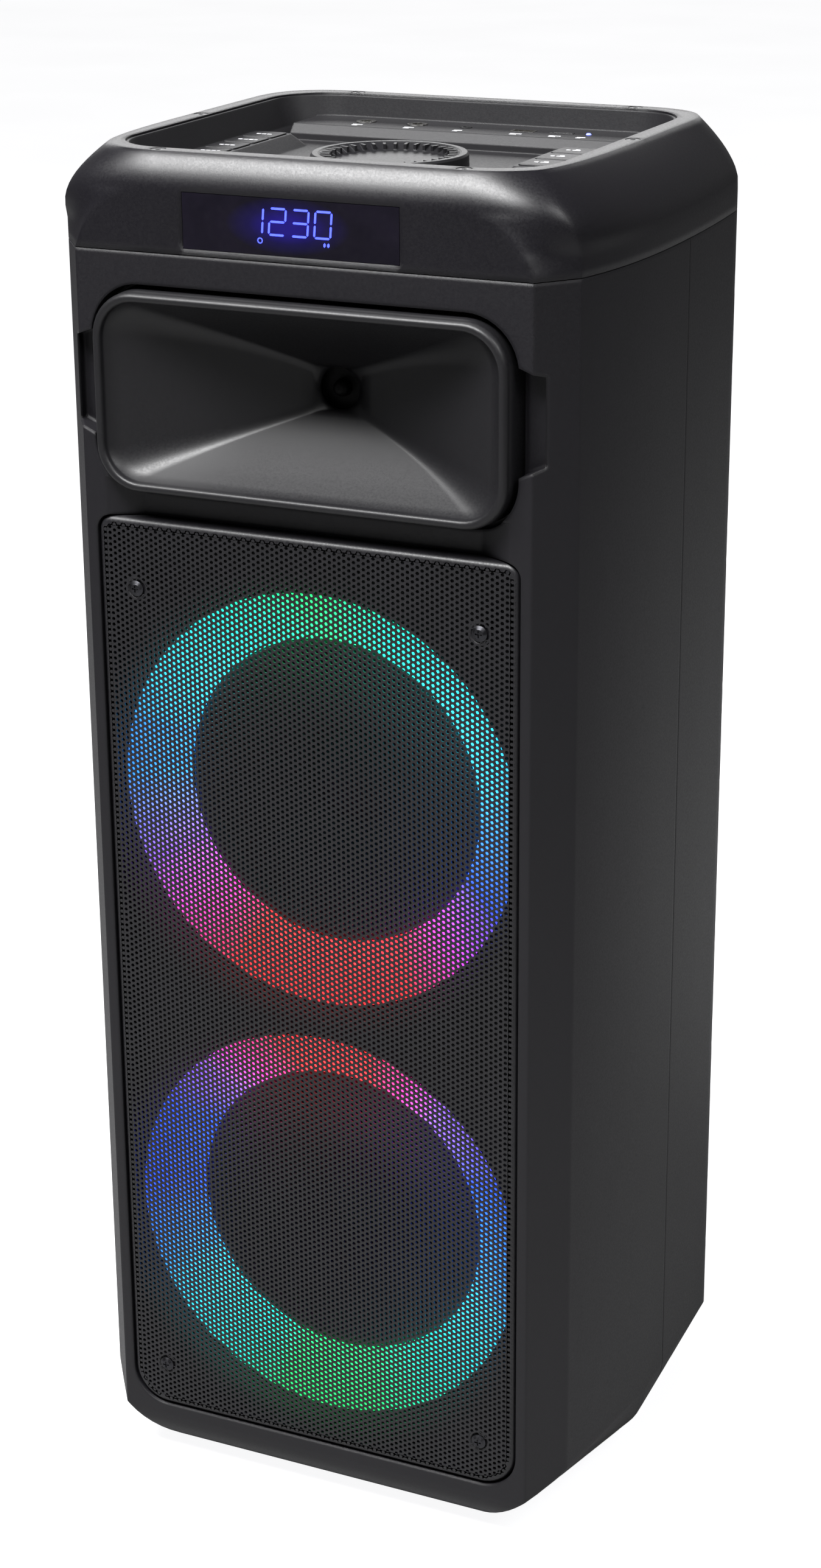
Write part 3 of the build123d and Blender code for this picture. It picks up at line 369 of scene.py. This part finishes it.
PLASTIC = (0.0036, 0.0032, 0.0048)
MATERIALS = {
    "cabinet": moulded("cabinet_plastic", PLASTIC, 0.46, rounding=0.003),
    "cap": moulded("cap_plastic", PLASTIC, 0.37, depth=0.00003, rounding=0.006),
    "panel": moulded("panel_plastic", (0.007, 0.0067, 0.008), 0.5),
    "key": moulded("key_plastic", (0.006, 0.0058, 0.007), 0.46, rounding=0.0005),
    "knob": moulded("knob_plastic", (0.006, 0.0058, 0.007), 0.42, rounding=0.0006),
    "horn": moulded("horn_plastic", (0.0058, 0.0056, 0.0066), 0.42, depth=0.00002),
    "grille": powder("grille_coat", (0.0045, 0.0042, 0.0056)),
    "plate": powder("black_paint", (0.012, 0.012, 0.013)),
    "basket": powder("basket_coat", (0.02, 0.02, 0.021)),
    "screw": metal("black_screw", (0.05, 0.05, 0.055), 0.35),
    "steel": metal("zinc_steel", (0.5, 0.5, 0.5), 0.35),
    "nickel": metal("nickel", (0.6, 0.59, 0.57), 0.2),
    "aluminium": metal("extruded_aluminium", (0.7, 0.7, 0.72), 0.35, (1, 1, 12)),
    "ferrite": moulded("ferrite", (0.03, 0.03, 0.032), 0.6, 0.0012),
    "cone": paper("cone_paper", (0.012, 0.012, 0.012)),
    "cloth": woven("spider_cloth", (0.35, 0.26, 0.1)),
    "rubber": moulded("surround_rubber", (0.01, 0.01, 0.01), 0.62, 0.0015, rounding=0.0004),
    "socket": moulded("socket_plastic", (0.01, 0.01, 0.011), 0.28, rounding=0.0003),
    "board": board("circuit_board"),
    "battery": moulded("battery_wrap", (0.02, 0.06, 0.2), 0.25, 0.01, rounding=0.0005),
    "driver": moulded("driver_paint", (0.0015, 0.0015, 0.0017), 0.5, specular=0.12),
    "print": moulded("panel_print", (0.7, 0.7, 0.74), 0.5, rounding=0.0),
    "digit": glowing("lit_digit", DIGIT_BLUE, 1.5),
    "status": glowing("status_lamp", srgb(120, 130, 255), 2.0),
    "upper_ring": light_ring("upper_light", middle_of("upper_led_diffuser")[2], UPPER_STOPS, 3.0),
    "lower_ring": light_ring("lower_light", middle_of("lower_led_diffuser")[2], LOWER_STOPS, 3.0),
    "window": smoked_window("smoked_window", (-0.005, WINDOW_LOW[1], WINDOW_LOW[2] + 0.0155),
                            (0.036, 0.02, 0.015), srgb(30, 18, 120)),
}
FINISH_OF_SLOT = {
    "cabinet_plastic": "cabinet", "cap_plastic": "cap", "panel_plastic": "panel",
    "key_plastic": "key", "grille_steel": "grille", "horn_plastic": "horn", "window": "window",
    "circuit_board": "board", "basket_steel": "basket", "ferrite": "ferrite",
    "yoke_steel": "steel", "cone_paper": "cone", "cloth": "cloth", "rubber": "rubber",
    "coil": "aluminium", "screw_steel": "screw", "plate_steel": "plate", "aluminium": "aluminium",
    "socket_metal": "nickel", "socket_plastic": "socket", "battery_wrap": "battery",
    "led_body": "status",
}


def paint_nodes():
    """Give every carried-over CAD node the finish of its material slot."""
    finish_of = {}
    for entry in frame["record"]["subparts"]:
        finish_of[entry["node"]] = FINISH_OF_SLOT.get(entry["material_slot"])
    finish_of["upper_led_diffuser"] = "upper_ring"
    finish_of["lower_led_diffuser"] = "lower_ring"
    finish_of["volume_knob"] = "knob"
    finish_of["horn_driver"] = "driver"
    for name, finish in finish_of.items():
        slots = NODES[name].data.materials
        if len(slots) == 0:
            slots.append(MATERIALS[finish])
        for i in range(len(slots)):
            slots[i] = MATERIALS[finish]


# ---------------------------------------------------------------- mesh helpers
def make_piece(name, verts, faces, finish, body=BODY, smooth=True):
    """New object from vertices and faces, riding on a body."""
    mesh = bpy.data.meshes.new(name)
    mesh.from_pydata(verts, [], faces)
    mesh.validate()
    mesh.materials.append(MATERIALS[finish])
    if smooth:
        mesh.polygons.foreach_set("use_smooth", [True] * len(mesh.polygons))
    piece = bpy.data.objects.new(name, mesh)
    bpy.context.scene.collection.objects.link(piece)
    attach(piece, body)
    return piece


def loft_rings(rings, close_first=False, close_last=False):
    """Vertices and quads that join closed rings of equal length, one after another."""
    count = len(rings[0])
    verts = [point for ring in rings for point in ring]
    faces = []
    for r in range(len(rings) - 1):
        for i in range(count):
            j = (i + 1) % count
            faces.append((r * count + i, r * count + j, (r + 1) * count + j, (r + 1) * count + i))
    if close_first:
        faces.append(tuple(reversed(range(count))))
    if close_last:
        start = (len(rings) - 1) * count
        faces.append(tuple(start + i for i in range(count)))
    return verts, faces


def face_ring(half_w, half_h, radius, y, centre_z, upper_radius=None, per_corner=10):
    """Rounded rectangle in an X-Z plane, the same number of points whatever its size."""
    points = []
    lower_radius = radius
    for k, (sx, sz) in enumerate(((1, 1), (-1, 1), (-1, -1), (1, -1))):
        radius = upper_radius if upper_radius is not None and sz > 0 else lower_radius
        for i in range(per_corner + 1):
            angle = math.pi / 2 * (k + i / per_corner)
            points.append((sx * (half_w - radius) + radius * math.cos(angle), y,
                           centre_z + sz * (half_h - radius) + radius * math.sin(angle)))
    return points


def round_ring(radius, x, y, z, count):
    """Circle in an X-Z plane."""
    return [(x + radius * math.cos(TAU * k / count), y, z + radius * math.sin(TAU * k / count))
            for k in range(count)]


# ---------------------------------------------------------------- grille
HOLE_PITCH = 3.3 * MM
HOLE_RADIUS = 1.12 * MM
SHEET = 1.0 * MM
MERGE = MM / 20              # cell corners nearer than this are one vertex
GRILLE_RIM = 4.0 * MM        # width of the plain folded edge
GRILLE_CORNER, GRILLE_TOP_CORNER = 22 * MM, 8 * MM
GRILLE_FOLD = 11.5 * MM      # how far the edge is folded back
GRILLE_BANDS = 3             # keeps each piece of the sheet to a moderate size
SHEET_MARGIN = 1.5 * MM      # from the edge of the grille to the edge of the sheet
SCREW_PLACES = [(sx * 103.1 * MM, z * MM) for sx in (-1, 1) for z in (63.7, 554.3)]
SCREW_CLEAR = 5.2 * MM       # no holes are cut nearer to a screw than this
SLACK = 0.2 * MM
DIMPLE = ((6.6, 0.0), (5.6, 0.12), (5.0, 0.7), (4.7, 1.0), (1.7, 1.0), (1.7, 1.8), (5.0, 1.8),
          (6.6, 0.9))        # pressed seat of a screw, (radius, depth) in millimetres


def perforated_band(name, x_low, x_high, z_low, z_high, cut):
    """A band of perforated sheet, six-sided cells and holes, left open round its outer edge."""
    step_x = HOLE_PITCH * math.sqrt(3) / 2
    cell = HOLE_PITCH / math.sqrt(3)
    verts, faces, index = [], [], {}
    front, back = FACE_Y, FACE_Y + SHEET

    def corner_vertex(x, z, y):
        key = (round(x / MERGE), round(z / MERGE), y == front)
        if key not in index:
            index[key] = len(verts)
            verts.append((min(max(x, x_low), x_high), y, z))
        return index[key]

    columns = int((x_high - x_low) / step_x) + 2
    rows = int((z_high - z_low) / HOLE_PITCH) + 1
    for c in range(columns):
        x = x_low + c * step_x
        for r in range(rows):
            z = z_low + (r + (0.5 if c % 2 else 0.0)) * HOLE_PITCH
            if cut(x, z):
                continue
            base = len(verts)
            for y in (front, back):
                for k in range(6):
                    angle = TAU * k / 6
                    verts.append((x + HOLE_RADIUS * math.cos(angle), y,
                                  z + HOLE_RADIUS * math.sin(angle)))
            outer_front, outer_back = [], []
            for k in range(6):
                angle = TAU * k / 6
                px, pz = x + cell * math.cos(angle), z + cell * math.sin(angle)
                outer_front.append(corner_vertex(px, pz, front))
                outer_back.append(corner_vertex(px, pz, back))
            for k in range(6):
                j = (k + 1) % 6
                faces.append((outer_front[k], outer_front[j], base + j, base + k))
                faces.append((outer_back[j], outer_back[k], base + 6 + k, base + 6 + j))
                faces.append((base + k, base + j, base + 6 + j, base + 6 + k))
    make_piece(name, verts, faces, "grille", smooth=False)


def make_grille():
    """Perforated sheet in three bands inside a folded rim that turns back at the edges."""
    low, high = GRILLE_LOW, GRILLE_HIGH
    centre_z = (low[2] + high[2]) / 2
    half_w, half_h = (high[0] - low[0]) / 2, (high[2] - low[2]) / 2
    rim, corner, top_corner = GRILLE_RIM, GRILLE_CORNER, GRILLE_TOP_CORNER
    inner_w, inner_h = half_w - rim, half_h - rim

    def outside(x, z):
        inner_r = (top_corner if z > centre_z else corner) - rim
        dx = abs(x) - (inner_w - inner_r)
        dz = abs(z - centre_z) - (inner_h - inner_r)
        if dx > 0 and dz > 0:
            beyond = math.hypot(dx, dz) > inner_r + SLACK
        else:
            beyond = abs(x) > inner_w + SLACK or abs(z - centre_z) > inner_h + SLACK
        near_screw = any(math.hypot(x - a, z - b) < SCREW_CLEAR for a, b in SCREW_PLACES)
        return beyond or near_screw

    rows = round(2 * inner_h / HOLE_PITCH / GRILLE_BANDS)
    edge = half_w - SHEET_MARGIN
    for b in range(GRILLE_BANDS):
        z_low = centre_z - inner_h + b * rows * HOLE_PITCH
        z_high = z_low + rows * HOLE_PITCH - HOLE_PITCH / 2
        perforated_band("grille_sheet_%d" % (b + 1), -edge, edge, z_low, z_high, outside)
    profile = [(rim + 1.2 * MM, 0.0), (rim * 0.8, 0.0), (rim * 0.5, 0.35 * MM), (rim * 0.22, 1.2 * MM),
               (0.3 * MM, 2.6 * MM), (0.0, 4.2 * MM), (0.0, GRILLE_FOLD), (1.2 * MM, GRILLE_FOLD),
               (1.2 * MM, 4.2 * MM), (rim + 1.2 * MM, 1.1 * MM)]
    rings = [face_ring(half_w - inset, half_h - inset, corner - inset, FACE_Y + back, centre_z,
                       top_corner - inset) for inset, back in profile]
    rings.append(rings[0])
    verts, faces = loft_rings(rings)
    folded_edge = make_piece("grille_rim", verts, faces, "grille")
    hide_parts("grille")
    for i, (x, z) in enumerate(SCREW_PLACES):
        dimple = [round_ring(radius * MM, x, FACE_Y + depth * MM, z, 32) for radius, depth in DIMPLE]
        dimple.append(dimple[0])
        verts, faces = loft_rings(dimple)
        make_piece("grille_dimple_%d" % (i + 1), verts, faces, "grille")


# ---------------------------------------------------------------- horn
HORN_SKIRT = 20.5 * MM       # from the front of the lip to the back of the flange
MOUTH_INSET = 7.2 * MM
THROAT_HALF_W, THROAT_HALF_H = 15 * MM, 12.5 * MM
THROAT_DEPTH = 45 * MM       # behind the face of the cabinet
THROAT_BORE = 11.6 * MM
FACET_STEPS = 14
FACET_BOW = 0.09             # how much the facets bow towards the back


def make_horn():
    """Horn moulding: rolled lip round a mouth of four facets that run down to the throat."""
    centre_z = (HORN_LOW[2] + HORN_HIGH[2]) / 2
    front, back = HORN_LOW[1], HORN_HIGH[1]
    half_w, half_h = (HORN_HIGH[0] - HORN_LOW[0]) / 2, (HORN_HIGH[2] - HORN_LOW[2]) / 2
    flange_y = front + HORN_SKIRT
    rings = [face_ring(half_w - 3 * MM, half_h - 3 * MM, 25 * MM, flange_y, centre_z),
             face_ring(half_w, half_h, 27.6 * MM, flange_y, centre_z),
             face_ring(half_w - 1.3 * MM, half_h - 1.3 * MM, 26.4 * MM, front + 4.6 * MM, centre_z)]
    # lip: a quarter roll, a narrow crown, then a smaller roll into the mouth
    for i in range(7):
        angle = math.pi / 2 * i / 6
        inset = 1.6 + 2.4 * (1 - math.cos(angle))
        rings.append(face_ring(half_w - inset * MM, half_h - inset * MM, (26.2 - inset * 0.8) * MM,
                               front + (4.2 - 4.2 * math.sin(angle)) * MM, centre_z))
    for i in range(1, 6):
        angle = math.pi / 2 * i / 5
        inset = 5.0 + 1.8 * math.sin(angle)
        rings.append(face_ring(half_w - inset * MM, half_h - inset * MM, (22.6 - 2 * i / 5) * MM,
                               front + 3.0 * (1 - math.cos(angle)) * MM, centre_z))
    mouth_w, mouth_h, mouth_y = half_w - MOUTH_INSET, half_h - MOUTH_INSET, front + 4.4 * MM
    throat_w, throat_h, throat_y = THROAT_HALF_W, THROAT_HALF_H, FACE_Y + THROAT_DEPTH
    for i in range(FACET_STEPS + 1):
        t = i / FACET_STEPS
        fall = t + FACET_BOW * math.sin(math.pi * t)
        radius = 20 * MM * (1 - t) ** 2 + 4.6 * MM * (1 - (1 - t) ** 2)
        rings.append(face_ring(mouth_w + (throat_w - mouth_w) * t, mouth_h + (throat_h - mouth_h) * t,
                               radius, mouth_y + (throat_y - mouth_y) * fall, centre_z))
    rings.append(face_ring(14 * MM, 12 * MM, 10 * MM, throat_y + 2 * MM, centre_z))
    for y in (throat_y + 3.4 * MM, back):
        rings.append(face_ring(THROAT_BORE, THROAT_BORE, 11.5 * MM, y, centre_z))
    rings.append(face_ring(19 * MM, 16.5 * MM, 11.5 * MM, back, centre_z))
    rings.append(face_ring(half_w - 11 * MM, half_h - 11 * MM, 18 * MM, front + 17 * MM, centre_z))
    rings.append(rings[0])
    verts, faces = loft_rings(rings)
    horn = make_piece("horn_moulding", verts, faces, "horn")
    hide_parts("horn_flare")


# ---------------------------------------------------------------- display
SEGMENTS = {"0": "abcdef", "1": "bc", "2": "abdeg", "3": "abcdg"}
NUMERALS = "1230"
DIGIT_W, DIGIT_H, DIGIT_STEP = 9.2 * MM, 13.6 * MM, 13.1 * MM
STROKE, SLANT = 1.15 * MM, 0.08
DIGIT_BASE = 10.6 * MM       # from the bottom of the window to the foot of the numerals
DIGIT_LEFT = -29.0 * MM
DIGIT_GAP = 0.35 * MM        # between the ends of two strokes
ICON_DROP = 3.4 * MM         # icons sit this far below the numerals
PROUD, SUNK = -0.08, 0.05    # millimetres in front of and behind the face of the window


def bar(start, end, width, y, slant_from):
    """One flat six-sided stroke between two points, standing a little out of the window."""
    (x0, z0), (x1, z1) = start, end
    length = math.hypot(x1 - x0, z1 - z0)
    ux, uz = (x1 - x0) / length, (z1 - z0) / length
    half = width / 2
    outline = [(x0, z0), (x0 + ux * half - uz * half, z0 + uz * half + ux * half),
               (x1 - ux * half - uz * half, z1 - uz * half + ux * half), (x1, z1),
               (x1 - ux * half + uz * half, z1 - uz * half - ux * half),
               (x0 + ux * half + uz * half, z0 + uz * half - ux * half)]
    rings = []
    for depth in (SUNK * MM, PROUD * MM):
        rings.append([(x + (z - slant_from) * SLANT, y + depth, z) for x, z in outline])
    return rings


def add_solid(verts, faces, rings):
    new_verts, new_faces = loft_rings(rings, True, True)
    offset = len(verts)
    verts.extend(new_verts)
    faces.extend(tuple(offset + v for v in face) for face in new_faces)


def make_digits():
    """Lit seven-segment numerals, with a small ring and two small bars below them."""
    verts, faces = [], []
    y = WINDOW_LOW[1]
    base_z = WINDOW_LOW[2] + DIGIT_BASE
    left = DIGIT_LEFT
    for place, digit in enumerate(NUMERALS):
        x = left + place * DIGIT_STEP
        top, mid, low = base_z + DIGIT_H, base_z + DIGIT_H / 2, base_z
        ends = {"a": ((x, top), (x + DIGIT_W, top)), "g": ((x, mid), (x + DIGIT_W, mid)),
                "d": ((x, low), (x + DIGIT_W, low)), "f": ((x, mid), (x, top)),
                "b": ((x + DIGIT_W, mid), (x + DIGIT_W, top)), "e": ((x, low), (x, mid)),
                "c": ((x + DIGIT_W, low), (x + DIGIT_W, mid))}
        for key in SEGMENTS[digit]:
            (x0, z0), (x1, z1) = ends[key]
            along_x, along_z = (DIGIT_GAP, 0) if z0 == z1 else (0, DIGIT_GAP)
            start, end = (x0 + along_x, z0 + along_z), (x1 - along_x, z1 - along_z)
            add_solid(verts, faces, bar(start, end, STROKE, y, base_z))
    icon_z = base_z - ICON_DROP
    for i in range(2):
        x = left + 45.2 * MM + i * 2.2 * MM
        add_solid(verts, faces, bar((x, icon_z - 1.2 * MM), (x, icon_z + 1.2 * MM), 1.3 * MM, y, icon_z))
    make_piece("display_digits", verts, faces, "digit", smooth=False)
    rings = [round_ring(radius * MM, left + 8.0 * MM, y + depth * MM, icon_z, 20)
             for radius, depth in ((1.6, PROUD), (1.6, SUNK), (1.0, SUNK), (1.0, PROUD))]
    rings.append(rings[0])
    verts, faces = loft_rings(rings)
    make_piece("display_ring_icon", verts, faces, "digit", smooth=False)


# ---------------------------------------------------------------- marks printed on the panel
PRINT_LEVELS = (-0.02 * MM, 0.07 * MM)    # underside and top of the print


def printed_bars(name, bars, z, body):
    """Thin raised bars of print; bars are (x, y, length, width)."""
    verts, faces = [], []
    for x, y, length, width in bars:
        corners = ((-1, -1), (1, -1), (1, 1), (-1, 1))
        rings = [[(x + sx * length / 2, y + sy * width / 2, z + height) for sx, sy in corners]
                 for height in PRINT_LEVELS]
        add_solid(verts, faces, rings)
    make_piece(name, verts, faces, "print", body=body, smooth=False)


def make_marks():
    """Plain bars on the keys and by the sockets, where the real panel has lettering."""
    for i in range(1, 5):
        key = "left_key_%d" % i
        x, y, _ = middle_of(key)
        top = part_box(key)[1][2]
        marks = [(x - 3.4 * MM, y, 2.6 * MM, 1.5 * MM), (x, y, 2.6 * MM, 1.5 * MM),
                 (x + 3.4 * MM, y, 2.6 * MM, 1.5 * MM)]
        if i % 2:
            marks.append((x + 6.4 * MM, y, 1.8 * MM, 1.5 * MM))
        printed_bars(key + "_mark", marks, top, key)
    for i in range(1, 4):
        key = "right_key_%d" % i
        x, y, _ = middle_of(key)
        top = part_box(key)[1][2]
        marks = [(x - 4.2 * MM, y, 2.2 * MM, 1.6 * MM), (x + 0.6 * MM, y, 4.6 * MM, 1.6 * MM),
                 (x + 0.6 * MM, y + 2.4 * MM, 2.4 * MM, 1.4 * MM)]
        printed_bars(key + "_mark", marks, top, key)
    strip_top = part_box("mic_jack")[1][2] - 0.6 * MM
    marks = []
    for node, width in (("mic_jack", 6), ("guitar_jack", 6), ("aux_jack", 5), ("usb_port", 7),
                        ("card_slot", 7), ("status_light", 5)):
        x, y, _ = middle_of(node)
        marks.append((x, y - 11.5 * MM, width * MM, 1.5 * MM))
        marks.append((x - 1 * MM, y - 14 * MM, width * 0.6 * MM, 1.2 * MM))
    printed_bars("socket_marks", marks, strip_top, BODY)


paint_nodes()
make_grille()
make_horn()
make_digits()
make_marks()
